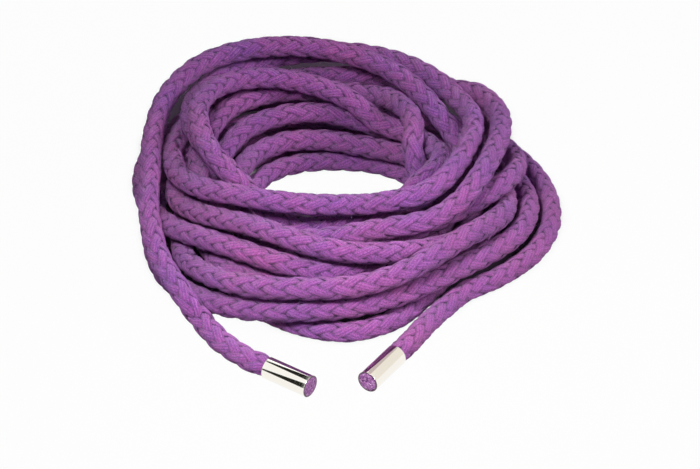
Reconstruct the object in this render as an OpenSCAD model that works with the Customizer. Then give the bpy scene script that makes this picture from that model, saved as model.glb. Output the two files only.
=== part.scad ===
// Braided cotton rope with a filler core, laid by hand in a coil of thirteen
// turns, with a metal ferrule crimped on each end. Millimetres, Z up, floor at 0.
// The braid itself is left out: the cover is a plain tube round a plain core.

/* [Rope] */
// Diameter of the braided cover
rope_d = 7.4; // [7.1:0.1:7.4]
// Bore of the cover, where the core runs
bore_d = 3.4; // [3:0.1:3.8]
// Space all round between the core and the cover
core_clearance = 0.1; // [0.05:0.05:0.2]

/* [Coil] */
// Space that the settling asks for between neighbouring turns
lay_space = 1.6; // [1.6:0.05:1.8]
// Number of settling passes
settle_passes = 44; // [44:1:46]

/* [Ferrule] */
// Outside diameter of a ferrule
ferrule_d = 7.4; // [7.2:0.1:7.6]
// Wall of a ferrule
ferrule_wall = 0.45; // [0.35:0.05:0.6]
// Length of a ferrule
ferrule_length = 17; // [14:0.5:19]
// Rounding of a ferrule's edges
ferrule_lip = 0.15; // [0.05:0.05:0.15]
// Space all round between a ferrule and the crimped cover
crimp_clearance = 0.05; // [0.02:0.01:0.1]
// Depth of the cut rope end inside the ferrule's mouth
mouth_depth = 0.5; // [0.2:0.1:1.5]

/* [Hidden] */

PURPLE = [0.55, 0.32, 0.62];
DARK_PURPLE = [0.42, 0.22, 0.48];
METAL = [0.86, 0.85, 0.82];
ROUND = 48;

// The rope lies flattened: its lowest tenth is cut away where it meets the floor.
flat_depth = rope_d/10;
rest_z = rope_d/2 - flat_depth;

// Where each turn passes the eight stations of the coil: left, back left, back,
// back right, right, front right, front and front left. Each place is the reach
// from the coil's middle and the rise above the lowest turn.
STATIONS = 8;
LAY = [
    [[67, 18], [75, 28], [66, 27.5], [52, 24.5], [46, 15], [28, 16], [22, 11.5], [33, 12.5]],
    [[54, 28], [68, 27], [54, 23.5], [43, 22.5], [36, 22.5], [28, 10], [26, 5], [33, 7.5]],
    [[48, 22], [76, 19.5], [70.5, 22], [56, 20], [45.5, 23.5], [38.5, 24], [26, 19.5], [36, 22]],
    [[57.5, 15], [71, 11.5], [66, 16], [71, 14.5], [43.5, 9], [43, 15.5], [46, 21], [47.5, 20.5]],
    [[60.5, 7.5], [62, 5], [52, 7], [64, 6], [51.5, 17], [35, 15], [45, 13], [52, 15.5]],
    [[68, 7], [78, 4], [60.5, 8], [64, 18], [46, 24.5], [39.5, 19], [32.5, 16.5], [41.5, 16]],
    [[53, 15], [65, 19.5], [57.5, 17.5], [42, 24.5], [35.5, 14.5], [28, 3], [36.5, 9], [46, 2]],
    [[40.5, 0], [49, 0], [46.5, 0], [46.5, 0], [43, 0], [37, 0], [32, 0], [35.5, 5.5]],
    [[44, 11.5], [53, 6.5], [43, 6.5], [42, 7.5], [40, 7.5], [41.5, 7.5], [44.5, 5], [57, 7.5]],
    [[52.5, 7], [61, 13], [49.5, 15], [46.5, 0], [48.5, 0], [43.5, 0], [61, 0], [56, 0]],
    [[49, 0], [55.5, 0], [48, 0], [54.5, 1], [55.5, 8.5], [51.5, 16.5], [58.5, 12.5], [66.5, 9.5]],
    [[58.5, 0], [64.5, 0], [57, 0], [63.5, 0.5], [62.5, 4], [51, 7.5], [56.5, 4], [65.5, 2.5]],
    [[67.5, 0], [72.5, 0], [66, 0], [67.5, 0], [64.5, 0], [53, 0]]
];
// The place one station before the first turn, where the left tail comes up.
HEAD = [73.5, 7];
// Where one turn rides over or passes inside another:
// turn, step round the turn, change of reach and change of rise.
RIDES = [
    [-1, 23, -2, 1.5], [0, 22, 3, -4.5], [2, 22, 3, -1], [3, 9, -2, 1],
    [3, 11, -4.5, 1.5], [3, 13, 1, -2.5], [4, 9, -2, -3], [4, 11, 3, -1], [4, 13, 2, 1],
    [4, 22, 0, 2.5], [9, 16, -1.5, 0], [9, 20, -1, 0], [10, 11, 1.5, -2],
    [10, 22, 0, -2.5], [11, 20, 1, 3.5]
];
// Points of the two tails on the floor, from the coil to the ferrule, and where
// the ferrules' mouths lie with the way that they point.
TAIL_LEFT = [[-49.5, -57, 3.5], [-42.5, -66, 1]];
TAIL_RIGHT = [[32.5, -46, 0], [25.5, -56, 0.2]];
MOUTH_LEFT = [-12.7, -89.6];
AIM_LEFT = -35;
MOUTH_RIGHT = [5.6, -87.3];
AIM_RIGHT = -124;

// The stations are joined by a smooth curve of three steps each.
SUB = 3;
STEPS = STATIONS*SUB;
START = 225;
PLACES = concat([HEAD], [for (row = LAY) each row]);
last_place = len(PLACES) - 1;
function blend(a, b, c, d, t) =
    0.5*(2*b + (c - a)*t + (2*a - 5*b + 4*c - d)*t*t + (3*b - a - 3*c + d)*t*t*t);
function between(i, t) = blend(
    PLACES[max(i - 1, 0)], PLACES[i], PLACES[i + 1], PLACES[min(i + 2, last_place)], t);
SMOOTH = [for (i = [0:last_place]) each (i == last_place
    ? [PLACES[i]]
    : [for (j = [0:SUB - 1]) between(i, j/SUB)])];
count = len(SMOOTH);
COS = [for (i = [0:count - 1]) cos(START - 360*i/STEPS)];
SIN = [for (i = [0:count - 1]) sin(START - 360*i/STEPS)];

function total(v) = len(v) == 0 ? [0, 0] : [for (i = [1:len(v)]) 1]*v;
function ride_at(i) = total([for (r = RIDES)
    let (o = i - (SUB + STEPS*r[0] + r[1]))
    if (abs(o) <= 3) pow(cos(22.5*o), 2)*[r[2], r[3]]]);
LAID = [for (i = [0:count - 1])
    let (p = SMOOTH[i] + ride_at(i))
    [p[0], max(p[1], 0)]];

// Settling: a point nearer than the wanted pitch to another turn moves away from
// it, the move is shared and smoothed, and nothing goes below the lowest turn.
pitch = rope_d + lay_space;
SHARE = 0.9;
CALM = 4;
EASE = 0.2;
MAX_TURNS = 12;
function spots(s) = [for (i = [0:count - 1]) [s[i][0]*COS[i], s[i][0]*SIN[i], s[i][1]]];
function from_segment(p, a, b) =
    let (ab = b - a, t = max(0, min(1, (p - a)*ab/(ab*ab))))
    p - a - t*ab;
function shorter(u, v) = u*u < v*v ? u : v;
function away(p, P, j) = shorter(
    from_segment(p, P[max(j - 1, 0)], P[max(j, 1)]),
    from_segment(p, P[min(j, count - 2)], P[min(j + 1, count - 1)]));
function pushes(s, P, i) = [for (k = [-MAX_TURNS:MAX_TURNS])
    let (j = i + STEPS*k)
    if (k != 0 && j >= 0 && j < count)
    if (abs(s[j][0] - s[i][0]) < 14 && abs(s[j][1] - s[i][1]) < 12)
    let (v = away(P[i], P, j), n = norm(v))
    if (n < pitch)
    let (r = v[0]*COS[i] + v[1]*SIN[i], m = norm([r, v[2]]) + 0.000001)
    [r, v[2]]*(SHARE*(pitch - n)/m)];
function pushed(s, P) = [for (i = [0:count - 1])
    let (f = pushes(s, P, i))
    len(f) == 0 ? s[i] : s[i] + total(f)/sqrt(len(f))];
function eased(s) =
    let (d = s - LAID)
    [for (i = [0:count - 1]) i == 0 || i == count - 1
        ? s[i]
        : s[i] + EASE*(d[i - 1] + d[i + 1] - 2*d[i])];
function floored(s) = [for (p = s) [p[0], max(p[1], 0)]];
function settle(s, left) = left == 0 ? s : settle(
    floored(left > CALM ? eased(pushed(s, spots(s))) : pushed(s, spots(s))), left - 1);
SETTLED = settle(LAID, settle_passes);
COIL = [for (p = spots(SETTLED)) p + [0, 0, rest_z]];

// The ferrules lie on the floor, and the tails end square at their rope ends.
ferrule_z = ferrule_d/2;
function aim(a) = [cos(a), sin(a), 0];
ROPE_END_LEFT = [MOUTH_LEFT[0], MOUTH_LEFT[1], ferrule_z] - ferrule_length*aim(AIM_LEFT);
ROPE_END_RIGHT = [MOUTH_RIGHT[0], MOUTH_RIGHT[1], ferrule_z] - ferrule_length*aim(AIM_RIGHT);
LEFT_RUN = concat(
    [COIL[0]],
    [for (p = TAIL_LEFT) p + [0, 0, rest_z]],
    [ROPE_END_LEFT - 1.2*rope_d*aim(AIM_LEFT), ROPE_END_LEFT]);
RIGHT_RUN = concat(
    [COIL[count - 1]],
    [for (p = TAIL_RIGHT) p + [0, 0, rest_z]],
    [ROPE_END_RIGHT - 1.2*rope_d*aim(AIM_RIGHT), ROPE_END_RIGHT]);

// A ring stands square to its way: sideways is out from the middle.
function unit(v) = v/norm(v);
function square_ring(c, way, r, sides) =
    let (t = unit(way), out = unit(cross(t, [0, 0, 1])), up = cross(out, t))
    [for (k = [0:sides - 1])
        let (p = c + r*(cos(360*k/sides)*out + sin(360*k/sides)*up))
        [p[0], p[1], max(p[2], 0)]];
function way_at(c, i, before, after) =
    let (n = len(c) - 1)
    (i == 0 ? before : unit(c[i] - c[i - 1])) + (i == n ? after : unit(c[i + 1] - c[i]));

// The coil's end rings take the tail's direction into account, and the tails
// start on the same planes.
COIL_IN = unit(COIL[0] - LEFT_RUN[1]);
COIL_OUT = unit(RIGHT_RUN[1] - COIL[count - 1]);
COIL_FIRST = unit(COIL[1] - COIL[0]);
COIL_LAST = unit(COIL[count - 1] - COIL[count - 2]);

// Everything is moved so that the box of the whole part is centred.
function outer_rings(c, before, after, r, sides) =
    [for (i = [0:len(c) - 1]) each square_ring(c[i], way_at(c, i, before, after), r, sides)];
COIL_SKIN = outer_rings(COIL, COIL_IN, COIL_OUT, rope_d/2, 6);
mouth_edge = ferrule_d/2*abs(cos(AIM_LEFT));
low_y = min(min([for (p = COIL_SKIN) p[1]]), MOUTH_LEFT[1] - mouth_edge);
high_y = max([for (p = COIL_SKIN) p[1]]);
low_x = min([for (p = COIL_SKIN) p[0]]);
high_x = max([for (p = COIL_SKIN) p[0]]);
MIDDLE = [(low_x + high_x)/2, (low_y + high_y)/2, 0];

// Least gap of the coil to itself, on four points per step.
FINE = 4;
FINE_ROUTE = [for (i = [0:count - 2]) for (j = [0:FINE - 1])
    COIL[i] + (COIL[i + 1] - COIL[i])*j/FINE];
fine_count = len(FINE_ROUTE);
fine_turn = STEPS*FINE;
near_by = 2*rope_d;
function near_turn(i) = [for (k = [1:MAX_TURNS])
    let (j = i + fine_turn*k)
    if (j < fine_count - 5 && norm(FINE_ROUTE[i] - FINE_ROUTE[j]) < near_by)
    for (o = [-4:4])
    norm(from_segment(FINE_ROUTE[i], FINE_ROUTE[j + o], FINE_ROUTE[j + o + 1]))];
coil_gap = min([for (i = [0:fine_count - 1]) min(concat([near_by], near_turn(i)))]) - rope_d;
function run_length(c) = len(c) < 2 ? 0 : [for (i = [1:len(c) - 1]) 1]
    *[for (i = [1:len(c) - 1]) norm(c[i] - c[i - 1])];
rope_length = run_length(COIL) + run_length(LEFT_RUN) + run_length(RIGHT_RUN)
    + 2*(ferrule_length - mouth_depth);
echo(coil_gap = coil_gap, rope_length = rope_length, middle = MIDDLE,
     size = [high_x - low_x, high_y - low_y]);

// Faces of a tube between rings, looking outward or into the bore, and the flat
// rings of faces that close its start and its far end.
function wall_faces(rings, sides, first, bore) = [for (i = [0:rings - 2]) for (k = [0:sides - 1])
    let (a = first + i*sides + k, b = first + i*sides + (k + 1)%sides, c = b + sides, d = a + sides)
    each (bore ? [[a, c, b], [a, d, c]] : [[a, b, c], [a, c, d]])];
BORE_SIDES = 4;
function end_faces(sides, outer, inner, start) = concat(
    [for (k = [0:sides - 1])
        let (a = outer + k, b = outer + (k + 1)%sides,
             c = inner + round((k + 0.5)*BORE_SIDES/sides)%BORE_SIDES)
        start ? [b, a, c] : [a, b, c]],
    [for (j = [0:BORE_SIDES - 1])
        let (a = inner + j, b = inner + (j + 1)%BORE_SIDES,
             c = outer + round((j + 0.5)*sides/BORE_SIDES)%sides)
        start ? [a, b, c] : [b, a, c]]);

module cover_tube(c, before, after, sides) {
    rings = len(c);
    outer = outer_rings(c, before, after, rope_d/2, sides);
    inner = outer_rings(c, before, after, bore_d/2, BORE_SIDES);
    far = sides*(rings - 1);
    far_bore = len(outer) + BORE_SIDES*(rings - 1);
    polyhedron(
        points = concat(outer, inner),
        faces = concat(
            wall_faces(rings, sides, 0, false),
            wall_faces(rings, BORE_SIDES, len(outer), true),
            end_faces(sides, 0, len(outer), true),
            end_faces(sides, far, far_bore, false)));
}

module core_rod(c, before, after) {
    rings = len(c);
    skin = outer_rings(c, before, after, bore_d/2 - core_clearance, BORE_SIDES);
    far = BORE_SIDES*(rings - 1);
    polyhedron(
        points = skin,
        faces = concat(
            wall_faces(rings, BORE_SIDES, 0, false),
            [[0, 2, 1], [0, 3, 2]],
            [[far, far + 1, far + 2], [far, far + 2, far + 3]]));
}

// A piece in a ferrule's own frame: Z runs from the rope end to the mouth.
module on_ferrule(rope_end, angle) {
    translate(rope_end - MIDDLE)
        rotate([0, 0, angle])
            rotate([0, 90, 0])
                children();
}

module ferrule() {
    r = ferrule_d/2;
    b = ferrule_d/2 - ferrule_wall;
    e = ferrule_lip;
    rotate_extrude($fn = ROUND)
        polygon([
            [b + e, 0], [r - e, 0], [r, e],
            [r, ferrule_length - e], [r - e, ferrule_length],
            [b + e, ferrule_length], [b, ferrule_length - e], [b, e]]);
}

module cover_end() {
    r = ferrule_d/2 - ferrule_wall - crimp_clearance;
    difference() {
        cylinder(r = r, h = ferrule_length - mouth_depth, $fn = ROUND);
        translate([0, 0, -1])
            cylinder(d = bore_d, h = ferrule_length + 2, $fn = ROUND);
    }
}

module core_end() {
    cylinder(r = bore_d/2 - core_clearance, h = ferrule_length - mouth_depth, $fn = ROUND);
}

module cover_coil() {
    color(PURPLE) translate(-MIDDLE) cover_tube(COIL, COIL_IN, COIL_OUT, 6);
}

module core_coil() {
    color(DARK_PURPLE) translate(-MIDDLE) core_rod(COIL, COIL_IN, COIL_OUT);
}

module cover_tail_left() {
    color(PURPLE) translate(-MIDDLE) cover_tube(LEFT_RUN, -COIL_FIRST, aim(AIM_LEFT), 8);
}

module cover_tail_right() {
    color(PURPLE) translate(-MIDDLE) cover_tube(RIGHT_RUN, COIL_LAST, aim(AIM_RIGHT), 8);
}

module core_tail_left() {
    color(DARK_PURPLE) translate(-MIDDLE) core_rod(LEFT_RUN, -COIL_FIRST, aim(AIM_LEFT));
}

module core_tail_right() {
    color(DARK_PURPLE) translate(-MIDDLE) core_rod(RIGHT_RUN, COIL_LAST, aim(AIM_RIGHT));
}

module cover_end_left() {
    color(PURPLE) on_ferrule(ROPE_END_LEFT, AIM_LEFT) cover_end();
}

module cover_end_right() {
    color(PURPLE) on_ferrule(ROPE_END_RIGHT, AIM_RIGHT) cover_end();
}

module core_end_left() {
    color(DARK_PURPLE) on_ferrule(ROPE_END_LEFT, AIM_LEFT) core_end();
}

module core_end_right() {
    color(DARK_PURPLE) on_ferrule(ROPE_END_RIGHT, AIM_RIGHT) core_end();
}

module ferrule_left() {
    color(METAL) on_ferrule(ROPE_END_LEFT, AIM_LEFT) ferrule();
}

module ferrule_right() {
    color(METAL) on_ferrule(ROPE_END_RIGHT, AIM_RIGHT) ferrule();
}

cover_coil();
cover_tail_left();
cover_tail_right();
core_coil();
core_tail_left();
core_tail_right();
cover_end_left();
cover_end_right();
core_end_left();
core_end_right();
ferrule_left();
ferrule_right();
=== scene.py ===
# %% [markdown]
# # A braided rope in a loose coil
# The object is one cotton rope about four metres long. Twelve strands are braided
# round a filler core, and a short metal ferrule is crimped on each end. The rope
# lies in thirteen loose turns, as a hand lays it down.
#
# The lesson goes from the outside in: first the camera, then the line that the rope
# follows, then the core, the braid and the ends, and last the finishes and the
# light. The line is the important part. Everything else is made along it.

# %% The frame that holds the sizes
import math

import bmesh
import bpy
import numpy as np
from mathutils import Matrix, Vector
from mathutils.kdtree import KDTree


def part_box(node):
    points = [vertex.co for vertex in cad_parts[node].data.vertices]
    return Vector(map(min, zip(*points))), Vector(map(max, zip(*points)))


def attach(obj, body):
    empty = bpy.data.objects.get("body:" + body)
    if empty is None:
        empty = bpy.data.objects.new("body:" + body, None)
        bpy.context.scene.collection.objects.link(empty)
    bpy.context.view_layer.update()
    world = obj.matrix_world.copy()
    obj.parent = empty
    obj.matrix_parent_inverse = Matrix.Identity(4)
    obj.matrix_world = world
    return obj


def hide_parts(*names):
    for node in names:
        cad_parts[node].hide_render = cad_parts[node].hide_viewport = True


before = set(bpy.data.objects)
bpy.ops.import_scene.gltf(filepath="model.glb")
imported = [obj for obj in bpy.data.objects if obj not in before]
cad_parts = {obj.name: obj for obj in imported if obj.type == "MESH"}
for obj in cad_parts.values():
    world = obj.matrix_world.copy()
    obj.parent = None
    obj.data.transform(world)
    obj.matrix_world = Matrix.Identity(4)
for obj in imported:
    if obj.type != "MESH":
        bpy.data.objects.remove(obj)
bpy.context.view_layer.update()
MM = 0.001

# %% Sizes of the rope and its ferrules, in millimetres
ROPE_D = 7.4
FERRULE_D = 7.4
FERRULE_WALL = 0.45
FERRULE_LENGTH = 17
MOUTH_DEPTH = 0.5
FLAT_DEPTH = ROPE_D/10
REST_Z = ROPE_D/2 - FLAT_DEPTH
MOUTH_LEFT, AIM_LEFT = [-12.7, -89.6], -35
MOUTH_RIGHT, AIM_RIGHT = [5.6, -87.3], -124


# %% The coil's middle, found from where the frame holds the left ferrule
def aim(degrees):
    """A level way of length 1."""
    return np.array([math.cos(math.radians(degrees)), math.sin(math.radians(degrees)), 0])


ferrule_box = np.array(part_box("ferrule_left"))/MM
MIDDLE = (np.array([*MOUTH_LEFT, FERRULE_D/2]) - FERRULE_LENGTH/2*aim(AIM_LEFT)
          - ferrule_box.mean(0)).round(4)*[1, 1, 0]
print("coil's middle in mm:", -MIDDLE)

# %% [markdown]
# ## The camera
# The camera looks down at the coil at 36 degrees from a metre away with a long lens,
# so the far turns are hardly smaller than the near ones. It is made first because
# everything after it is judged through it. A lens is given for a sensor 36 mm wide.

# %% Camera
IMAGE_W = 700
FOCAL_PX = 2880
SENSOR_MM = 36
ELEVATION = math.radians(36)
DISTANCE = 1000*MM
LOOK_LOWER = 4
COIL_MIDDLE = Vector((*-MIDDLE[:2], REST_Z - LOOK_LOWER))*MM


def stand(name, data):
    """A new object in the scene, which holds the data."""
    made = bpy.data.objects.new(name, data)
    bpy.context.scene.collection.objects.link(made)
    return made


camera_data = bpy.data.cameras.new("camera")
camera_data.sensor_width = SENSOR_MM
camera_data.lens = FOCAL_PX/IMAGE_W*SENSOR_MM
camera_data.clip_start = 0.01
camera = stand("camera", camera_data)
back_and_up = Vector((0, -math.cos(ELEVATION), math.sin(ELEVATION)))
camera.location = COIL_MIDDLE + DISTANCE*back_and_up
camera.rotation_euler = (math.pi/2 - ELEVATION, 0, 0)
bpy.context.scene.camera = camera
print("lens:", round(camera_data.lens, 1), "mm")

# %% [markdown]
# ## The line of the rope
# A coil laid by hand has no formula, but it has an order. Each turn passes eight
# stations round the coil, and at each station it has a reach from the middle and a
# rise above the floor. Those two numbers say which strand lies on which. A smooth
# curve joins them, a few small bumps let one turn ride over another, and then the
# turns push each other apart until none of them runs through its neighbour. A real
# rope settles in the same way when it drops.
#
# The places in the table were set one by one. Their order wasn't, below the third
# turn: a search program outside this file found which place follows which there, so
# that strands that cross keep apart.

# %% Where each turn passes the eight stations: reach and rise
LAY = [
    [[67, 18], [75, 28], [66, 27.5], [52, 24.5], [46, 15], [28, 16], [22, 11.5], [33, 12.5]],
    [[54, 28], [68, 27], [54, 23.5], [43, 22.5], [36, 22.5], [28, 10], [26, 5], [33, 7.5]],
    [[48, 22], [76, 19.5], [70.5, 22], [56, 20], [45.5, 23.5], [38.5, 24], [26, 19.5], [36, 22]],
    [[57.5, 15], [71, 11.5], [66, 16], [71, 14.5], [43.5, 9], [43, 15.5], [46, 21], [47.5, 20.5]],
    [[60.5, 7.5], [62, 5], [52, 7], [64, 6], [51.5, 17], [35, 15], [45, 13], [52, 15.5]],
    [[68, 7], [78, 4], [60.5, 8], [64, 18], [46, 24.5], [39.5, 19], [32.5, 16.5], [41.5, 16]],
    [[53, 15], [65, 19.5], [57.5, 17.5], [42, 24.5], [35.5, 14.5], [28, 3], [36.5, 9], [46, 2]],
    [[40.5, 0], [49, 0], [46.5, 0], [46.5, 0], [43, 0], [37, 0], [32, 0], [35.5, 5.5]],
    [[44, 11.5], [53, 6.5], [43, 6.5], [42, 7.5], [40, 7.5], [41.5, 7.5], [44.5, 5], [57, 7.5]],
    [[52.5, 7], [61, 13], [49.5, 15], [46.5, 0], [48.5, 0], [43.5, 0], [61, 0], [56, 0]],
    [[49, 0], [55.5, 0], [48, 0], [54.5, 1], [55.5, 8.5], [51.5, 16.5], [58.5, 12.5], [66.5, 9.5]],
    [[58.5, 0], [64.5, 0], [57, 0], [63.5, 0.5], [62.5, 4], [51, 7.5], [56.5, 4], [65.5, 2.5]],
    [[67.5, 0], [72.5, 0], [66, 0], [67.5, 0], [64.5, 0], [53, 0]],
]
# The place one station before the first turn, where the left tail comes up.
HEAD = [73.5, 7]
# Where a turn rides over or passes inside another: turn, step, reach and rise.
RIDES = [
    [-1, 23, -2, 1.5], [0, 22, 3, -4.5], [2, 22, 3, -1], [3, 9, -2, 1],
    [3, 11, -4.5, 1.5], [3, 13, 1, -2.5], [4, 9, -2, -3], [4, 11, 3, -1], [4, 13, 2, 1],
    [4, 22, 0, 2.5], [9, 16, -1.5, 0], [9, 20, -1, 0], [10, 11, 1.5, -2],
    [10, 22, 0, -2.5], [11, 20, 1, 3.5],
]
# Points of the two tails on the floor.
TAIL_LEFT = [[-49.5, -57, 3.5], [-42.5, -66, 1]]
TAIL_RIGHT = [[32.5, -46, 0], [25.5, -56, 0.2]]

# %% A smooth curve through points
def smooth(points, steps):
    """Points of a curve that passes through every given point, some steps apart."""
    given = np.array(points, float)
    last = len(given) - 1
    curve = []
    for i in range(last):
        a, b, c, d = given[max(i - 1, 0)], given[i], given[i + 1], given[min(i + 2, last)]
        for t in np.arange(steps)/steps:
            curve.append(0.5*(2*b + (c - a)*t + (2*a - 5*b + 4*c - d)*t*t
                              + (3*b - a - 3*c + d)*t**3))
    return np.array(curve + [given[-1]])


STATIONS = 8
SUB = 3
STEPS = STATIONS*SUB
START = 225
RIDE_STEPS = 4
laid = smooth([HEAD] + [place for turn in LAY for place in turn], SUB)
for turn, step, reach, rise in RIDES:
    middle = SUB + STEPS*turn + step
    for i in range(max(middle - RIDE_STEPS + 1, 0), middle + RIDE_STEPS):
        share = math.cos(math.radians(90*(i - middle)/RIDE_STEPS))**2
        laid[i] += share*np.array([reach, rise])
laid[:, 1] = laid[:, 1].clip(0)
print(len(laid), "points in", len(LAY), "turns")

# %% The turns push each other apart
LAY_SPACE = 1.6
PASSES = 44
SHARE, EASE, CALM = 0.9, 0.2, 4
COMPARED = [14, 12]
bearing = np.radians(START - 360*np.arange(len(laid))/STEPS)
COS, SIN = np.cos(bearing), np.sin(bearing)


def spots(lay):
    """Reach and rise, turned into points in space."""
    return np.stack([lay[:, 0]*COS, lay[:, 0]*SIN, lay[:, 1]], 1)


def from_stretch(p, a, b):
    """The shortest way from the stretch a to b, to the point p."""
    along = b - a
    length = (along**2).sum(1).clip(1e-9)
    t = (((p - a)*along).sum(1)/length).clip(0, 1)
    return p - a - t[:, None]*along


def settle(lay, passes):
    """Moves each point away from any other turn that is nearer than the pitch."""
    count, pitch = len(lay), ROPE_D + LAY_SPACE
    lay = lay.copy()
    for left in range(passes, 0, -1):
        points = spots(lay)
        push, pushes = np.zeros_like(lay), np.zeros(count)
        for k in [k for k in range(1 - len(LAY), len(LAY)) if k != 0]:
            i = np.arange(count)
            i = i[(i + STEPS*k >= 0) & (i + STEPS*k < count)]
            j = i + STEPS*k
            near = (abs(lay[j] - lay[i]) < COMPARED).all(1)
            i, j = i[near], j[near]
            before = from_stretch(points[i], points[(j - 1).clip(0)], points[j.clip(1)])
            after = from_stretch(points[i], points[j.clip(max=count - 2)],
                                 points[(j + 1).clip(max=count - 1)])
            way = np.where(((before**2).sum(1) < (after**2).sum(1))[:, None], before, after)
            gap = np.linalg.norm(way, axis=1)
            close = gap < pitch
            i, way, gap = i[close], way[close], gap[close]
            flat = np.stack([way[:, 0]*COS[i] + way[:, 1]*SIN[i], way[:, 2]], 1)
            size = np.linalg.norm(flat, axis=1) + 1e-6
            push[i] += flat*(SHARE*(pitch - gap)/size)[:, None]
            pushes[i] += 1
        lay += push/np.sqrt(pushes.clip(1))[:, None]
        if left > CALM:
            moved = lay - laid
            lay[1:-1] += EASE*(moved[:-2] + moved[2:] - 2*moved[1:-1])
        lay[:, 1] = lay[:, 1].clip(0)
    return lay


coil = spots(settle(laid, PASSES)) + [0, 0, REST_Z]
print("coil: top at", round(coil[:, 2].max() + ROPE_D/2, 1), "mm")

# %% The two tails, and the whole line from mouth to mouth
STRAIGHT_END = 1.2*ROPE_D
FINE = 6


def tail(points, mouth, degrees):
    """The tail on the floor, its straight end, and the rope inside the ferrule."""
    mouth = np.array([*mouth, FERRULE_D/2])
    rope_end = mouth - FERRULE_LENGTH*aim(degrees)
    floor_points = [np.array(p) + [0, 0, REST_Z] for p in points]
    cut = mouth - MOUTH_DEPTH*aim(degrees)
    straight = rope_end - STRAIGHT_END*aim(degrees)
    return [*floor_points, straight, rope_end, cut], rope_end


left_run, ROPE_END_LEFT = tail(TAIL_LEFT, MOUTH_LEFT, AIM_LEFT)
right_run, ROPE_END_RIGHT = tail(TAIL_RIGHT, MOUTH_RIGHT, AIM_RIGHT)
route = (smooth([*left_run[::-1], *coil, *right_run], FINE) - MIDDLE)*MM

# %% The line as a curve, which every piece of the rope follows
def curve_object(name, points):
    """A curve of one open spline with straight stretches."""
    data = bpy.data.curves.new(name, "CURVE")
    data.dimensions = "3D"
    spline = data.splines.new("POLY")
    spline.points.add(len(points) - 1)
    spline.points.foreach_set("co", np.c_[points, np.ones(len(points))].ravel())
    return stand(name, data)


def keep(name, source):
    """The evaluated object as a plain mesh object of its own."""
    bpy.context.view_layer.update()
    ready = source.evaluated_get(bpy.context.evaluated_depsgraph_get())
    mesh = bpy.data.meshes.new_from_object(ready, preserve_all_data_layers=True)
    mesh.name = name
    return stand(name, mesh)


line = curve_object("rope_line", route)

# %% [markdown]
# ## Formulas inside a node tree
# Geometry Nodes and materials both work with fields, which are numbers that differ
# from point to point. A formula of ten steps is ten Math nodes, and written out one
# by one they hide what they say. The small class below wraps a socket so that plain
# arithmetic makes the nodes. The trees that follow then read like the formulas.

# %% A socket that takes part in arithmetic
class Field:
    """A socket of a node tree. Arithmetic with it adds Math nodes to the tree."""

    def __init__(self, tree, socket):
        self.tree, self.socket = tree, socket

    def math(self, operation, *others):
        node = self.tree.nodes.new("ShaderNodeMath")
        node.operation = operation
        for i, value in enumerate([self, *others]):
            plug(self.tree, value, node.inputs[i])
        return Field(self.tree, node.outputs[0])

    def __add__(self, other):
        return self.math("ADD", other)

    def __sub__(self, other):
        return self.math("SUBTRACT", other)

    def __mul__(self, other):
        return self.math("MULTIPLY", other)

    def __truediv__(self, other):
        return self.math("DIVIDE", other)

    __radd__, __rmul__ = __add__, __mul__

    def __rsub__(self, other):
        return self*-1.0 + other

    def sin(self):
        return self.math("SINE")

    def cos(self):
        return self.math("COSINE")

    def between(self, low, high, start=0.0, end=1.0):
        """0 up to low and 1 from high, or start and end, with a soft turn."""
        node = self.tree.nodes.new("ShaderNodeMapRange")
        node.interpolation_type = "SMOOTHSTEP"
        for i, value in enumerate([self, low, high, start, end]):
            plug(self.tree, value, node.inputs[i])
        return Field(self.tree, node.outputs[0])


def plug(tree, value, socket):
    """Sets a socket to a number, or links a field or another socket to it."""
    if isinstance(value, Field):
        value = value.socket
    if isinstance(value, bpy.types.NodeSocket):
        tree.links.new(value, socket)
    else:
        socket.default_value = value


def add(tree, kind, inputs=(), output=0, **settings):
    """A new node with its inputs plugged, by name or number, and its output."""
    node = tree.nodes.new(kind)
    for name, value in settings.items():
        setattr(node, name, value)
    for name, value in dict(inputs).items():
        plug(tree, value, node.inputs[name])
    return Field(tree, node.outputs[output]) if node.outputs else node


def xyz(tree, vector):
    """The three parts of a vector as fields."""
    node = tree.nodes.new("ShaderNodeSeparateXYZ")
    plug(tree, vector, node.inputs[0])
    return [Field(tree, out) for out in node.outputs]


def join(tree, x, y, z):
    """Three fields as one vector."""
    return add(tree, "ShaderNodeCombineXYZ", {0: x, 1: y, 2: z})


def vector_math(tree, operation, a, b=None, scale=None):
    """A Vector Math node, with a second vector or a number where it needs one."""
    inputs = {0: a}
    if b is not None:
        inputs[1] = b
    if scale is not None:
        inputs["Scale"] = scale
    return add(tree, "ShaderNodeVectorMath", inputs, operation=operation)


# %% A modifier whose inputs are set by name
def new_tree(name, inputs):
    """A geometry tree with a geometry input, the named inputs and their defaults."""
    tree = bpy.data.node_groups.new(name, "GeometryNodeTree")
    tree.interface.new_socket("Geometry", in_out="INPUT", socket_type="NodeSocketGeometry")
    for label, (kind, value) in inputs.items():
        socket = tree.interface.new_socket(
            label, in_out="INPUT", socket_type="NodeSocket" + kind)
        if value is not None:
            socket.default_value = value
    tree.interface.new_socket("Geometry", in_out="OUTPUT", socket_type="NodeSocketGeometry")
    source = tree.nodes.new("NodeGroupInput")
    fields = {label: Field(tree, source.outputs[label]) for label in ["Geometry", *inputs]}
    return tree, fields


def end_tree(tree, geometry, material):
    """Every tree ends in the same way: real geometry, with its material."""
    real = add(tree, "GeometryNodeRealizeInstances", {0: geometry})
    coloured = add(tree, "GeometryNodeSetMaterial", {"Geometry": real, "Material": material})
    out = tree.nodes.new("NodeGroupOutput")
    plug(tree, coloured, out.inputs[0])


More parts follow.
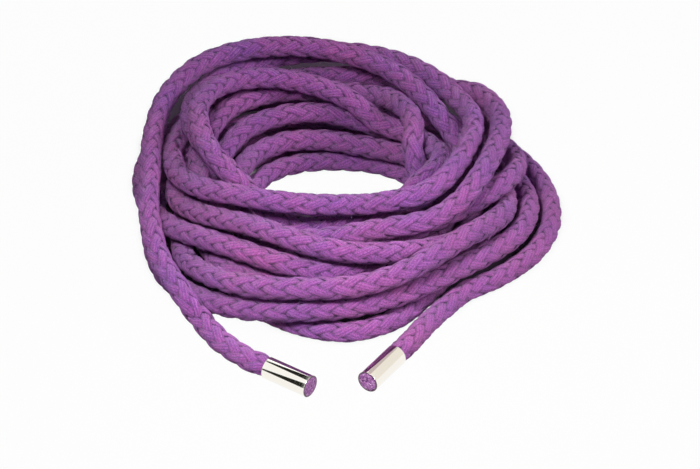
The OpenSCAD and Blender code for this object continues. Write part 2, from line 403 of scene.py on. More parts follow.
def run_tree(name, source, tree, values):
    """Runs the tree on a copy of the source object and keeps the mesh it makes."""
    carrier = source.copy()
    bpy.context.scene.collection.objects.link(carrier)
    modifier = carrier.modifiers.new(name, "NODES")
    modifier.node_group = tree
    for item in tree.interface.items_tree:
        if item.item_type == "SOCKET" and item.in_out == "INPUT" and item.name in values:
            modifier[item.identifier] = values[item.name]
    made = keep(name, carrier)
    bpy.data.objects.remove(carrier)
    return made


# %% [markdown]
# ## Dyed cotton
# The strands are soft dyed cotton. Close to, each strand shows a few yarns side by
# side and pale fibres between them, so the rope is matte with a bloom at its edges.
# The dye isn't even: one stretch is pinker and the next is bluer. The creases, the
# yarn grooves and the stretches where a strand dips under the others are painted
# nearly black, as painted shade for the little light that gets in there. Each strand
# carries an attribute that says how far along it and how far across it a point lies,
# so the yarns follow the strand round every bend, and another that says how far out
# of the weave it stands.

# %% Helpers for a material
def new_material(name):
    """A material with its node tree and its shader."""
    material = bpy.data.materials.new(name)
    material.use_nodes = True
    tree = material.node_tree
    shader = tree.nodes["Principled BSDF"]
    return material, tree, shader


def noise(tree, vector, scale, detail=2.0, roughness=0.5):
    """A cloudy pattern from 0 to 1, with about scale clouds to the unit."""
    return add(tree, "ShaderNodeTexNoise",
               {"Vector": vector, "Scale": scale, "Detail": detail, "Roughness": roughness})


def ramp(tree, value, stops):
    """A colour ramp from (position, colour) stops."""
    node = tree.nodes.new("ShaderNodeValToRGB")
    elements = node.color_ramp.elements
    while len(elements) < len(stops):
        elements.new(0.5)
    for element, (position, colour) in zip(elements, stops):
        element.position = position
        element.color = (*colour, 1)
    plug(tree, value, node.inputs[0])
    return Field(tree, node.outputs[0])


def mix_colour(tree, share, a, b):
    """The colour a where the share is 0, and b where it is 1."""
    node = tree.nodes.new("ShaderNodeMix")
    node.data_type = "RGBA"
    plug(tree, share, node.inputs[0])
    for value, socket in ((a, node.inputs[6]), (b, node.inputs[7])):
        plug(tree, (*value, 1) if isinstance(value, tuple) else value, socket)
    return Field(tree, node.outputs[2])


def in_millimetres(tree):
    """The place on the object in millimetres, for patterns of a real size."""
    place = add(tree, "ShaderNodeTexCoord", output=3)
    return vector_math(tree, "SCALE", place, scale=1/MM)


def attribute(tree, name, output=2):
    """An attribute of the mesh: output 2 is a number, and output 1 a vector."""
    return add(tree, "ShaderNodeAttribute", output=output, attribute_name=name)


def finish_with(shader, **values):
    """Sets what is the same all over the surface, straight on the shader."""
    for name, value in values.items():
        shader.inputs[name.replace("_", " ")].default_value = value


def roughen(tree, shader, height, strength, depth):
    """Fine relief that is too small for the mesh."""
    bump = add(tree, "ShaderNodeBump",
               {"Strength": strength, "Distance": depth, "Height": height})
    plug(tree, bump, shader.inputs["Normal"])


# %% Dyed cotton for the strands
PURPLE = (0.42, 0.097, 0.45)
PINKER = (0.54, 0.108, 0.44)
BLUER = (0.3, 0.078, 0.45)
# The near-black below is painted shade for the creases, not a dye of the cotton.
CREASE_SHADE = (0.022, 0.005, 0.042)
PALE_FIBRE = (0.68, 0.3, 0.74)

cotton, tree, shader = new_material("dyed_cotton")
in_mm = in_millimetres(tree)
along, across, height = xyz(tree, attribute(tree, "yarn", output=1))
lift = attribute(tree, "lift")
ridge = attribute(tree, "ridge")

dye = noise(tree, in_mm, 0.045, 2.0)
streak = noise(tree, join(tree, along*0.22, across*1.7, lift*0.3), 1.0, 3.0)
colour = ramp(tree, dye*0.55 + streak*0.45,
              [(0.34, BLUER), (0.5, PURPLE), (0.66, PINKER)])
fibre = noise(tree, join(tree, along*0.55, across*3.0, height), 1.0, 3.0, 0.7)
colour = mix_colour(tree, fibre.between(0.5, 0.7, 0.0, 0.55), colour, PALE_FIBRE)
# Painted shade: the colour turns near-black away from the crown of each strand, in the yarn
# grooves and where a strand dips under the others, broken by random mottling.
outside_painted_shade = height.between(0.2, 0.88) * lift.between(-0.75, 0.4, 0.15, 1.0)
outside_painted_shade = outside_painted_shade * (ridge + streak*1.4 - 0.7).between(-1.0, 0.3, 0.68, 1.0)
outside_painted_shade = outside_painted_shade * noise(tree, in_mm, 2.1, 3.0, 0.7).between(0.36, 0.56, 0.55, 1.0)
colour = mix_colour(tree, outside_painted_shade, CREASE_SHADE, colour)
plug(tree, colour, shader.inputs["Base Color"])
finish_with(shader, Roughness=0.92, Specular_IOR_Level=0.18, Sheen_Weight=0.28,
            Sheen_Roughness=0.55, Sheen_Tint=(0.86, 0.66, 0.95, 1))
relief = fibre*0.8 + noise(tree, in_mm, 2.4, 3.0, 0.7)*1.4
roughen(tree, shader, relief, 0.9, 0.6*MM)

# %% The filler, with painted shade for its colour
# The filler's purple hue is dyed cotton, but its near-black darkness is painted shade, which
# stands for the dark gaps between the strands.
SHADED = (0.03, 0.008, 0.045)
SHADED_PALER = (0.09, 0.03, 0.12)

filler, tree, shader = new_material("filler_cotton")
in_mm = in_millimetres(tree)
colour = mix_colour(tree, noise(tree, in_mm, 1.5, 3.0), SHADED, SHADED_PALER)
plug(tree, colour, shader.inputs["Base Color"])
finish_with(shader, Roughness=0.95, Specular_IOR_Level=0.1)
roughen(tree, shader, noise(tree, in_mm, 3.0, 4.0), 0.4, 0.2*MM)

# %% [markdown]
# ## The core
# The core is the rope's soft filling. It shows only as darkness between the strands,
# but it holds the rope's length and line. A tube round the line would do with Curve
# to Mesh. Here it is made with the same mapping as the strands, which flattens it on
# the floor in the same way.

# %% A tube that follows the line, flattened where it lies on the floor
CROWN = 3.9*MM
FLOOR_GAP = 0.04*MM
CORE_R = 2.85*MM
CRIMP_CLEARANCE = 0.05
SQUEEZE = (FERRULE_D/2 - FERRULE_WALL - CRIMP_CLEARANCE)*MM/CROWN
SQUEEZE_FROM, SQUEEZE_TO = (FERRULE_LENGTH - 1)*MM, (FERRULE_LENGTH + 2.5)*MM


def follow_line(tree, line_geometry, along, angle, radius):
    """The point at that distance along the line, at that angle and radius round it."""
    sample = tree.nodes.new("GeometryNodeSampleCurve")
    sample.mode = "LENGTH"
    sample.use_all_curves = True
    plug(tree, line_geometry, sample.inputs["Curves"])
    plug(tree, along, sample.inputs["Length"])
    centre, tangent, normal = [
        Field(tree, sample.outputs[name]) for name in ("Position", "Tangent", "Normal")]
    side = vector_math(tree, "CROSS_PRODUCT", tangent, normal)
    out = vector_math(tree, "ADD", vector_math(tree, "SCALE", normal, scale=angle.cos()),
                      vector_math(tree, "SCALE", side, scale=angle.sin()))
    offset = vector_math(tree, "SCALE", out, scale=radius)
    x, y, z = xyz(tree, offset)
    centre_z = xyz(tree, centre)[2]
    room = ((centre_z - FLOOR_GAP)/CROWN).math("MINIMUM", 1.0)
    lower = z.math("LESS_THAN", 0.0)
    squashed = z*(room*lower + (1.0 - lower))
    return vector_math(tree, "ADD", centre, join(tree, x, y, squashed))


def squeezed(tree, along, length):
    """1 along the rope, less inside the ferrules, where the crimp holds it."""
    from_end = along.math("MINIMUM", length - along)
    return from_end.between(SQUEEZE_FROM, SQUEEZE_TO, SQUEEZE, 1.0)


def set_position(tree, geometry, position):
    return add(tree, "GeometryNodeSetPosition", {"Geometry": geometry, "Position": position})


def tube_along(tree, length, spacing, sides):
    """A straight closed tube of radius 1, one ring per spacing, on the Z axis."""
    rings = (length/spacing).math("CEIL")
    tube = tree.nodes.new("GeometryNodeMeshCylinder")
    tube.fill_type = "NGON"
    for name, value in {"Vertices": sides, "Side Segments": rings, "Radius": 1.0,
                        "Depth": length}.items():
        plug(tree, value, tube.inputs[name])
    x, y, z = xyz(tree, add(tree, "GeometryNodeInputPosition"))
    return Field(tree, tube.outputs["Mesh"]), x, y, z + length*0.5


core_tree, core_in = new_tree("core_tube", {
    "Radius": ("Float", CORE_R), "Ring Spacing": ("Float", 2*MM), "Sides": ("Int", 12),
    "Material": ("Material", None)})
length = add(core_tree, "GeometryNodeCurveLength", {0: core_in["Geometry"]})
tube, x, y, s = tube_along(core_tree, length, core_in["Ring Spacing"], core_in["Sides"])
angle = y.math("ARCTAN2", x)
radius = core_in["Radius"]*squeezed(core_tree, s, length)
core_place = follow_line(core_tree, core_in["Geometry"], s, angle, radius)
end_tree(core_tree, set_position(core_tree, tube, core_place), core_in["Material"])

core = run_tree("filler_core", line, core_tree, {"Material": filler})
print("core:", len(core.data.polygons), "faces")

# %% [markdown]
# ## The braid
# Twelve strands run round the rope, six to the left and six to the right. Each goes
# over two and under two of the others, and each is one step behind its neighbour.
# That is why three rows of little arrowheads run along the rope. The strands could
# be drawn with an image of a braid, but then the edge of the rope would be smooth
# and the creases would have no depth. Here every strand is a real tube. One formula
# gives its place: the angle grows with the distance along the rope, and the radius
# swings out and in as the strand passes over and under.
#
# A strand isn't round. Its section is fuller than an ellipse, so that neighbours
# close up, and a row of shallow grooves stands for the yarns it is made of.

# %% One carrier of the braid
CARRIERS = 6
STRAND_W = 3.45*MM
STRAND_H = 1.6*MM
WEAVE = 0.5*MM
GROOVE = 0.1*MM
PITCH_TURN = 145.0
RINGS = 0.97*MM
SIDES = 16
FULLNESS = 0.9
CROWDING = 0.5
FLATTER_SWING = 0.3
WANDER = 0.26
UNEVEN = 0.08

braid_tree, given = new_tree("braid_carrier", {
    "Carrier": ("Float", 0.0), "Hand": ("Float", 1.0), "Crown Radius": ("Float", CROWN),
    "Strand Width": ("Float", STRAND_W), "Strand Height": ("Float", STRAND_H),
    "Weave Depth": ("Float", WEAVE), "Turn": ("Float", PITCH_TURN),
    "Ring Spacing": ("Float", RINGS), "Sides": ("Int", SIDES), "Material": ("Material", None)})
tree = braid_tree
length = add(tree, "GeometryNodeCurveLength", {0: given["Geometry"]})
tube, x, y, s = tube_along(tree, length, given["Ring Spacing"], given["Sides"])


def fuller(part):
    """Cosine or sine made fuller, so that the outline is a rounded pillow."""
    return part.math("SIGN")*part.math("ABSOLUTE").math("POWER", FULLNESS)


def own_noise(per_metre, carrier_step, hand_step):
    """Slow change along the strand, different on each of the twelve."""
    return noise(tree, join(tree, s*per_metre, given["Carrier"]*carrier_step,
                            given["Hand"]*hand_step), 1.0, 1.0)


# The points of a section crowd towards the side that shows.
corner = y.math("ARCTAN2", x)
ridge = (corner*(SIDES/2)).cos()
corner = corner + corner.cos()*CROWDING
x, y = fuller(corner.cos()), fuller(corner.sin())
ridge = ridge*y.between(-0.1, 0.4)

# Where the strand's middle runs, and how far it swings out over the others.
turn = given["Turn"]*given["Hand"]
wander = (own_noise(90.0, 7.3, 5.1) - 0.5)*WANDER
angle = turn*s + given["Carrier"]*(2*math.pi/CARRIERS) + wander
swing = ((angle - math.pi/2/CARRIERS)*(CARRIERS/2)).cos()
swing = swing*(1 + FLATTER_SWING + swing*swing*-FLATTER_SWING)*given["Hand"]
mean = given["Crown Radius"] - given["Weave Depth"] - given["Strand Height"]*0.5
centre_radius = mean + given["Weave Depth"]*swing

# The section lies square to the strand, which climbs round the rope.
slope = turn*centre_radius
steep = (slope*slope + 1.0).math("SQRT")
beside = x*(given["Strand Width"]*0.5)
side_along = beside*slope*-1.0/steep
side_angle = beside/(steep*centre_radius)
radius = centre_radius + y*given["Strand Height"]*0.5 + (ridge - 1.0)*(GROOVE/2)
thickness = 1 - UNEVEN/2 + own_noise(130.0, 3.7, 1.9)*UNEVEN
radius = radius*squeezed(tree, s, length)*thickness
strand_place = follow_line(tree, given["Geometry"], s + side_along, angle + side_angle, radius)


def store(tree, geometry, name, kind, value):
    """Writes an attribute that the materials read."""
    return add(tree, "GeometryNodeStoreNamedAttribute",
               {"Geometry": geometry, "Name": name, "Value": value},
               data_type=kind, domain="POINT")


yarn_mm = join(tree, s*steep*(1/MM), beside*(1/MM), y)
shape = store(tree, tube, "yarn", "FLOAT_VECTOR", yarn_mm)
shape = store(tree, shape, "lift", "FLOAT", swing)
shape = store(tree, shape, "ridge", "FLOAT", ridge)
smoothed = add(tree, "GeometryNodeSetShadeSmooth",
               {"Geometry": set_position(tree, shape, strand_place)})
end_tree(tree, smoothed, given["Material"])

# %% All twelve strands
strands = []
for hand, side in ((1.0, "right"), (-1.0, "left")):
    for carrier in range(CARRIERS):
        strands.append(run_tree(f"strand_{side}_{carrier + 1}", line, braid_tree,
                                {"Carrier": float(carrier), "Hand": hand, "Material": cotton}))
print(len(strands), "strands of", len(strands[0].data.polygons), "faces")

# %% [markdown]
# ## Loose fibres
# Cotton is spun from short fibres, and some of them always work loose. They are far
# thinner than anything else here, but together they soften the rope's edge. Each is
# a bent cone with seven faces. Random Value nodes give every fibre a distance along
# the line and an angle round it, and the mapping of the strands puts it in its place.
# Those that would start close to the floor are left out.

# %% Thousands of fibres on the braid
FIBRES = 9000
FIBRE_SEED = 4
FIBRE_LENGTH = 1.3*MM
FIBRE_R = 0.035*MM
ROOT_DEPTH = 0.45*MM
BARE_END = (FERRULE_LENGTH + 3)*MM
ABOVE_FLOOR = 2*MM
LEAN = 1.1
BEND = 280.0

fibre_tree, given = new_tree("loose_fibres", {
    "Count": ("Int", FIBRES), "Seed": ("Int", FIBRE_SEED),
    "Root Radius": ("Float", CROWN - ROOT_DEPTH), "Fibre Length": ("Float", FIBRE_LENGTH),
    "Fibre Radius": ("Float", FIBRE_R), "Material": ("Material", None)})
tree = fibre_tree


def random(tree, low, high, shift):
    """A number between low and high that differs from point to point."""
    return add(tree, "FunctionNodeRandomValue", {2: low, 3: high, 8: given["Seed"] + shift},
               output=1, data_type="FLOAT")


length = add(tree, "GeometryNodeCurveLength", {0: given["Geometry"]})
along = random(tree, BARE_END, length - BARE_END, 0)
angle = random(tree, 0.0, 2*math.pi, 10)
root = follow_line(tree, given["Geometry"], along, angle, given["Root Radius"])
above = follow_line(tree, given["Geometry"], along, angle, given["Root Radius"] + 1*MM)
outward = vector_math(tree, "SCALE", vector_math(tree, "SUBTRACT", above, root), scale=1/MM)
lean = join(tree, *[random(tree, -LEAN, LEAN, shift) for shift in (20, 30, 40)])
spots_on_rope = add(tree, "GeometryNodePoints", {"Count": given["Count"], "Position": root})
cone = add(tree, "GeometryNodeMeshCone", {
    "Vertices": 3, "Side Segments": 2, "Radius Top": 0.0,
    "Radius Bottom": given["Fibre Radius"], "Depth": given["Fibre Length"]})
up_the_cone = xyz(tree, add(tree, "GeometryNodeInputPosition"))[2]
bent = add(tree, "GeometryNodeSetPosition", {
    "Geometry": cone, "Offset": join(tree, up_the_cone*up_the_cone*BEND, 0.0, 0.0)})
turned = add(tree, "FunctionNodeAlignEulerToVector",
             {"Vector": vector_math(tree, "ADD", outward, lean)}, axis="Z")
planted = add(tree, "GeometryNodeInstanceOnPoints", {
    "Points": spots_on_rope, "Instance": bent, "Rotation": turned,
    "Selection": xyz(tree, root)[2].math("GREATER_THAN", ABOVE_FLOOR)})
end_tree(tree, planted, given["Material"])

fluff, tree, shader = new_material("loose_fibre")
finish_with(shader, Base_Color=(*PALE_FIBRE, 1), Roughness=0.9, Specular_IOR_Level=0.15)
fibres = run_tree("loose_fibres", line, fibre_tree, {"Material": fluff})
CONE_FACES = 7
print("fibres:", len(fibres.data.polygons)//CONE_FACES, "of", FIBRES)

# %% [markdown]
# ## The ferrules
# Each ferrule is a thin polished metal tube, crimped on so that the end can't fray.
# It is a turned shape, so a short outline spun round an axis gives it, with a small
# round at each lip. The lips matter most, because they catch the light. Two points
# close to each round hold the long wall straight when it is shaded smooth. Without
# them a mirror this narrow bends everything that shows in it.

# %% Polished metal
POLISHED = (0.93, 0.895, 0.83)
DARKER_RIM = (0.16, 0.11, 0.14)

metal, tree, shader = new_material("polished_metal")
finish_with(shader, Metallic=1.0)
# The base colour turns dark at both lips, where the points are marked as rim.
plug(tree, mix_colour(tree, attribute(tree, "rim"), POLISHED, DARKER_RIM),
     shader.inputs["Base Color"])
haze = noise(tree, in_millimetres(tree), 0.9, 3.0)
plug(tree, haze.between(0.3, 0.8, 0.03, 0.09), shader.inputs["Roughness"])

# %% Two helpers for what is made upright in millimetres, at the rope's end
def smooth_mesh(name, shape):
    """The finished shape as a mesh, facing outwards and shaded smooth."""
    bmesh.ops.recalc_face_normals(shape, faces=shape.faces)
    mesh = bpy.data.meshes.new(name)
    shape.to_mesh(mesh)
    shape.free()
    mesh.shade_smooth()
    return mesh


def put_on_end(mesh, rope_end, degrees, material):
    """Lays the mesh along the end of the rope, and gives it its material."""
    turn = Vector(aim(degrees)).to_track_quat("Z", "Y").to_matrix().to_4x4()
    mesh.transform(Matrix.Diagonal((MM, MM, MM, 1)))
    mesh.transform(Matrix.Translation(Vector((rope_end - MIDDLE)*MM)) @ turn)
    mesh.materials.append(material)
    return stand(mesh.name, mesh)


def mark_points(mesh, name, values):
    """One number for each point, which a material reads."""
    mesh.attributes.new(name, "FLOAT", "POINT").data.foreach_set("value", values)


# %% A turned tube with rounded lips
TURNS = 96
LIP = 0.15
LIP_STEPS = 4
HOLD = 0.04


def ferrule(name, rope_end, degrees):
    """A tube from the outline of its wall, spun round."""
    outer, inner = FERRULE_D/2 - LIP, FERRULE_D/2 - FERRULE_WALL + LIP
    low, high = LIP, FERRULE_LENGTH - LIP
    corners = [(inner, low, 180), (outer, low, 270), (outer, high, 0), (inner, high, 90)]
    round_points = [(0, -HOLD), *[(step, 0) for step in range(LIP_STEPS + 1)],
                    (LIP_STEPS, HOLD)]
    outline = []
    for r, z, start in corners:
        for step, beyond in round_points:
            a = math.radians(start + 90*step/LIP_STEPS)
            outline.append((r + LIP*math.cos(a) - beyond*math.sin(a),
                            z + LIP*math.sin(a) + beyond*math.cos(a)))
    shape = bmesh.new()
    rings = [[shape.verts.new((r*math.cos(t), r*math.sin(t), z)) for r, z in outline]
             for t in np.arange(TURNS)*2*math.pi/TURNS]
    for i, ring in enumerate(rings):
        after = rings[(i + 1) % TURNS]
        for j in range(len(outline)):
            k = (j + 1) % len(outline)
            shape.faces.new((ring[j], after[j], after[k], ring[k]))
    mesh = smooth_mesh(name, shape)
    mark_points(mesh, "rim", [
        0 <= min(v.co.z, FERRULE_LENGTH - v.co.z) < LIP - 0.01 for v in mesh.vertices])
    return put_on_end(mesh, rope_end, degrees, metal)


ferrule_left = ferrule("ferrule_tube_left", ROPE_END_LEFT, AIM_LEFT)
ferrule_right = ferrule("ferrule_tube_right", ROPE_END_RIGHT, AIM_RIGHT)
print("ferrules:", len(ferrule_left.data.polygons), "faces each")

# %% [markdown]
# ## The cut ends
# At each mouth the rope is cut off square. A cut braid shows as a tight bed
# of tufts, with a small hollow in the middle where the filler ends. A flat disc
# would look printed, so the disc's points are raised and lowered by a pattern of
# tufts, and its edge turns down inside the tube.

# %% A bed of cut tufts
CUT_TUCK = 0.16
CUT_R = FERRULE_D/2 - FERRULE_WALL + CUT_TUCK
CUT_PROUD = 0.08
CUT_RINGS, CUT_SIDES = 14, 72
CUT_SKIRT = 1.5
TUFT_ROWS, TUFTS_PER_ROW = 5, 6
TUFT_RISE = 0.22
HOLLOW_DEPTH, HOLLOW_R = 0.45, 0.5
EDGE_DROP = 0.15


def tuft_height(r, angle):
    """How far a point of the cut stands up: rings of tufts and a hollow middle."""
    out = r/CUT_R
    row = out*TUFT_ROWS
    tufts = TUFTS_PER_ROW*round(row) or 1
    tuft = abs(math.cos(math.pi*row))*abs(math.cos(0.5*tufts*angle + 1.3*round(row)))
    hollow = math.exp(-(r/HOLLOW_R)**2)
    return TUFT_RISE*tuft*(1 - out**4) - HOLLOW_DEPTH*hollow - EDGE_DROP*out**6


def cut_end(name, rope_end, degrees):
    """The end of the rope as rings of points, with a short wall inside the tube."""
    shape = bmesh.new()
    top = FERRULE_LENGTH + CUT_PROUD
    middle = shape.verts.new((0, 0, top + tuft_height(0, 0)))
    rings = []
    for i in range(1, CUT_RINGS + 1):
        r = CUT_R*i/CUT_RINGS
        rings.append([shape.verts.new((r*math.cos(a), r*math.sin(a), top + tuft_height(r, a)))
                      for a in np.arange(CUT_SIDES)*2*math.pi/CUT_SIDES])
    rings.append([shape.verts.new((v.co.x, v.co.y, top - CUT_SKIRT)) for v in rings[-1]])
    for j in range(CUT_SIDES):
        k = (j + 1) % CUT_SIDES
        shape.faces.new((middle, rings[0][j], rings[0][k]))
        for inner, outer in zip(rings, rings[1:]):
            shape.faces.new((inner[j], outer[j], outer[k], inner[k]))
    shape.faces.new(list(reversed(rings[-1])))
    mesh = smooth_mesh(name, shape)
    mark_points(mesh, "edge", [math.hypot(*v.co[:2])/CUT_R for v in mesh.vertices])
    return put_on_end(mesh, rope_end, degrees, cut_cotton)


# %% Cut cotton, with painted shade where it turns down into the tube
CUT_SHADE = (0.08, 0.018, 0.11)
CUT_MIDDLE = (0.36, 0.10, 0.37)
CUT_PALE = (0.62, 0.38, 0.64)

cut_cotton, tree, shader = new_material("cut_cotton")
in_mm = in_millimetres(tree)
grain = noise(tree, in_mm, 1.6, 4.0, 0.7)
colour = ramp(tree, grain, [(0.36, CUT_SHADE), (0.5, CUT_MIDDLE), (0.63, CUT_PALE)])
edge = attribute(tree, "edge")
# Painted shade: towards its edge, where it turns down inside the tube, the cut is mixed towards
# the near-black crease shade.
colour = mix_colour(tree, edge.between(0.86, 1.0, 0.0, 0.8), colour, CREASE_SHADE)
plug(tree, colour, shader.inputs["Base Color"])
finish_with(shader, Roughness=0.95, Specular_IOR_Level=0.15, Sheen_Weight=0.2)
roughen(tree, shader, noise(tree, in_mm, 4.0, 3.0), 0.7, 0.25*MM)
cut_left = cut_end("cut_end_left", ROPE_END_LEFT, AIM_LEFT)
cut_right = cut_end("cut_end_right", ROPE_END_RIGHT, AIM_RIGHT)
print("cut ends:", len(cut_left.data.polygons), "faces each")

# %% [markdown]
# ## Floor and light
# The floor is a plain white sheet. To the camera and in the metal it glows with
# nearly the same white as the background, and a little of it is lit. A glow has one
# fault: no lamp's shadow falls on it, so it would shine through every small gap in
# the pile, where a real coil is dark. So the floor doesn't glow where the coil stands
# in front of it, as seen from the camera's place. The middle of the coil is left open.
#
# That is shade painted for one camera, which a scene for all sides shouldn't have. A
# ring lamp stands at the same place, but it is dim, and its own shadow would hardly
# show. From above and behind, the shade is a dark patch on the floor that no lamp
# throws. A denser pile might not need it.
#
# A small lamp close in front keeps the near turns bright and leaves the inside of
# the coil darker. A second lamp stands to the right, and a weak one behind.

# %% Where the floor glows, and the painted shadow behind the coil
# The point below is the camera's place, rounded, and the dim ring lamp stands there
# too. The painted shadow reaches REACH to each side of the rope's middle line as seen
# from there, and the glow fades within GLOW_EDGE, counted inwards from the outline of
# the whole painted shadow.
CAMERA_AND_LAMP_PLACE = (0.0, -0.82, 0.59)
FLOOR_SIZE = 4.0
FINE_HALF, FINE_STEP = 0.15, 0.00125
REACH = 6.5*MM
GLOW_EDGE = [4.2*MM, 6.2*MM]
HOLE = np.array([[-38, 29], [28, 44]])*MM
FLATTER = np.array([1, 0.59, 0])
BLUR_PASSES = 6


def nearest(points, places):
    """How far each place is from the nearest of the points, as seen from the camera's place."""
    finder = KDTree(len(points))
    for i, point in enumerate(points*FLATTER):
        finder.insert(point, i)
    finder.balance()
    return np.array([finder.find(place)[2] for place in places*FLATTER])


# Only the coil counts here. The tails lie on the floor and need no painted shadow behind them.
first, last = FINE*len(left_run), len(route) - FINE*(len(right_run) - 1)
pile = route[first:last]
# Painted shadow: the coil's middle line is thrown onto the floor from the camera's place, not by
# any lamp, and the floor there is painted dark and doesn't glow.
camera_place = np.array(CAMERA_AND_LAMP_PLACE)
painted_shadow_line = pile + (pile - camera_place)*(pile[:, 2]/(camera_place[2] - pile[:, 2]))[:, None]
edges = np.arange(-FINE_HALF, FINE_HALF + FINE_STEP/2, FINE_STEP)
edges = np.r_[-FLOOR_SIZE/2, edges, FLOOR_SIZE/2]
places = np.array([(x, y, 0) for y in edges for x in edges])
away = nearest(painted_shadow_line, places)
depth = nearest(places[away > REACH], places)
openness = 1 - ((depth - GLOW_EDGE[0])/(GLOW_EDGE[1] - GLOW_EDGE[0])).clip(0, 1)
in_hole = ((places[:, :2] > HOLE[:, 0]) & (places[:, :2] < HOLE[:, 1])).all(1)
openness[in_hole] = 1
soft = openness.reshape(len(edges), len(edges))
for _ in range(BLUR_PASSES):
    soft[1:-1, 1:-1] = (4*soft[1:-1, 1:-1] + soft[:-2, 1:-1] + soft[2:, 1:-1]
                        + soft[1:-1, :-2] + soft[1:-1, 2:])/8
openness = soft.ravel()
print("floor:", len(places), "points,", int((openness < 0.5).sum()), "in the shadow")


# %% Floor
def seen_directly(tree):
    """1 for what the camera sees, directly or in something shiny."""
    path = tree.nodes.new("ShaderNodeLightPath")
    camera_ray, glossy, clear = [Field(tree, path.outputs[n]) for n in (
        "Is Camera Ray", "Is Glossy Ray", "Is Transmission Ray")]
    return camera_ray.math("MAXIMUM", glossy.math("MAXIMUM", clear))


FLOOR_GLOW = 0.975
PAPER = (0.28, 0.28, 0.28)
# The floor's colour inside the painted shadow.
PAINTED_FLOOR_SHADE = (0.04, 0.018, 0.045)
across_floor = len(edges)
sheet = bpy.data.meshes.new("floor")
sheet.from_pydata(places.tolist(), [], [
    (i, i + 1, i + 1 + across_floor, i + across_floor)
    for row in range(across_floor - 1)
    for i in range(row*across_floor, (row + 1)*across_floor - 1)])
mark_points(sheet, "open", openness)
floor = stand("floor", sheet)

paper, tree, shader = new_material("white_floor")
is_open = attribute(tree, "open")
# Painted shadow: where the floor isn't open, its colour turns dark and its glow is switched off.
plug(tree, mix_colour(tree, is_open, PAINTED_FLOOR_SHADE, PAPER), shader.inputs["Base Color"])
finish_with(shader, Roughness=0.9)
glow = add(tree, "ShaderNodeEmission", {"Color": (1, 1, 1, 1), "Strength": 1.0})
blend = add(tree, "ShaderNodeMixShader",
            {0: seen_directly(tree)*is_open*FLOOR_GLOW, 1: shader.outputs[0], 2: glow})
plug(tree, blend, tree.nodes["Material Output"].inputs["Surface"])
sheet.materials.append(paper)
print("floor:", len(sheet.polygons), "faces")

# %% Surroundings
SKY_LIGHT = 0.05
world = bpy.data.worlds.new("surroundings")
world.use_nodes = True
bpy.context.scene.world = world
tree = world.node_tree
sky = tree.nodes["Background"]
sky.inputs["Color"].default_value = (1, 1, 1, 1)
plug(tree, seen_directly(tree)*(1 - SKY_LIGHT) + SKY_LIGHT, sky.inputs["Strength"])

# %% Lamps
def lamp(name, place, size, power, target=COIL_MIDDLE, spread=180):
    """A round lamp that points at the target. The spread is in degrees."""
    data = bpy.data.lights.new(name, "AREA")
    data.shape = "DISK"
    data.size = size
    data.energy = power
    data.spread = math.radians(spread)
    made = stand(name, data)
    made.location = place
    made.rotation_euler = (Vector(target) - Vector(place)).to_track_quat("-Z", "Y").to_euler()


lamp("ring_lamp", CAMERA_AND_LAMP_PLACE, 0.1, 0.25)
lamp("front_lamp", (-0.08, -0.25, 0.35), 0.12, 0.215, (0, -0.055, 0), 55)
lamp("right_lamp", (0.45, -0.12, 0.33), 0.2, 2.0)
lamp("back_lamp", (0.1, 0.8, 0.8), 0.6, 0.3)
print("lamps:", len(bpy.data.lights))

# %% [markdown]
# ## What the ferrules reflect
# A polished tube has no look of its own. Two dark stripes run along the left ferrule
# and the right one is cream and mauve, because of things that stood round them. Here
# those are cards that only show in shiny things. Each is placed by turning the
# camera's line of sight round in the tube, so two angles on the tube say where it
# shows.

# %% Cards that show in the ferrules
CARD_DISTANCE = 80*MM
CARD_ROWS, CARD_COLUMNS = 9, 7


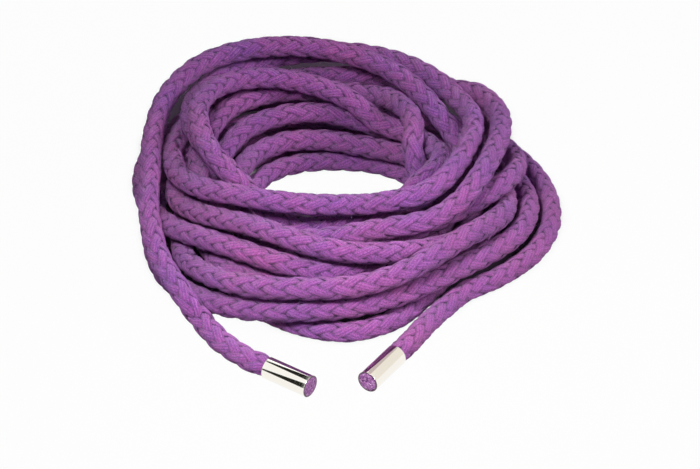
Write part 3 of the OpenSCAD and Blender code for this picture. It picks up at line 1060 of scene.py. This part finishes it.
def mirror_card(name, rope_end, degrees, at_rope, at_mouth, colour):
    """A curved card placed to show between two angles of the tube, at each of its ends."""
    along, up = Vector(aim(degrees)), Vector((0, 0, 1))
    side = along.cross(up)
    side *= -math.copysign(1, side.y)
    points = []
    for share in np.linspace(0, 1, CARD_ROWS).tolist():
        edge_angles = np.array(at_rope)*(1 - share) + np.array(at_mouth)*share
        for angle in np.radians(np.linspace(*edge_angles, CARD_COLUMNS)):
            normal = up*math.cos(angle) + side*math.sin(angle)
            point = (Vector(rope_end - MIDDLE) + FERRULE_LENGTH*share*along
                     + FERRULE_D/2*normal)*MM
            sight = (camera.location - point).normalized()
            points.append(point + CARD_DISTANCE*(2*normal.dot(sight)*normal - sight))
    mesh = bpy.data.meshes.new(name)
    mesh.from_pydata(points, [], [
        (i, i + 1, i + 1 + CARD_COLUMNS, i + CARD_COLUMNS)
        for row in range(CARD_ROWS - 1)
        for i in range(row*CARD_COLUMNS, (row + 1)*CARD_COLUMNS - 1)])
    card = stand(name, mesh)
    plain, tree, shader = new_material(name)
    light = add(tree, "ShaderNodeEmission", {"Color": (*colour, 1), "Strength": 1.0})
    plug(tree, light, tree.nodes["Material Output"].inputs["Surface"])
    tree.nodes.remove(shader)
    mesh.materials.append(plain)
    card.visible_camera = card.visible_diffuse = card.visible_shadow = False
    card.visible_transmission = False


NEAR_BLACK = (0.02, 0.02, 0.016)
CREAM = (0.88, 0.85, 0.79)
MAUVE = (0.58, 0.5, 0.5)
mirror_card("upper_dark_card", ROPE_END_LEFT, AIM_LEFT, (14, 20), (-4, 23), NEAR_BLACK)
mirror_card("lower_dark_card", ROPE_END_LEFT, AIM_LEFT, (60, 67), (42, 68), NEAR_BLACK)
mirror_card("cream_card", ROPE_END_RIGHT, AIM_RIGHT, (12, 56), (16, 60), CREAM)
mirror_card("mauve_card", ROPE_END_RIGHT, AIM_RIGHT, (-4, 12), (-4, 16), MAUVE)
bpy.context.scene.view_settings.view_transform = "Standard"

# %% [markdown]
# ## The pieces on one body
# The braid and the core stand for the plain tubes of the construction model, so those
# are hidden. The ferrules are hidden as well, and every piece is hung on one body.

# %% Pieces and their body
bpy.data.objects.remove(line)
LENGTHS = ("coil", "tail_left", "tail_right", "end_left", "end_right")
COVER = ["cover_" + length for length in LENGTHS]
CORE = ["core_" + length for length in LENGTHS]
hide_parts(*CORE)
for strand in strands:
    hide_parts(*COVER)
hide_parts("ferrule_left")
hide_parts("ferrule_right")
pieces = (core, *strands, fibres, cut_left, cut_right, ferrule_left, ferrule_right)
for piece in pieces:
    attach(piece, "root")
print(len(pieces), "pieces on one body")

# %% The left end of the rope, in metres
(ROPE_END_LEFT - MIDDLE)*MM
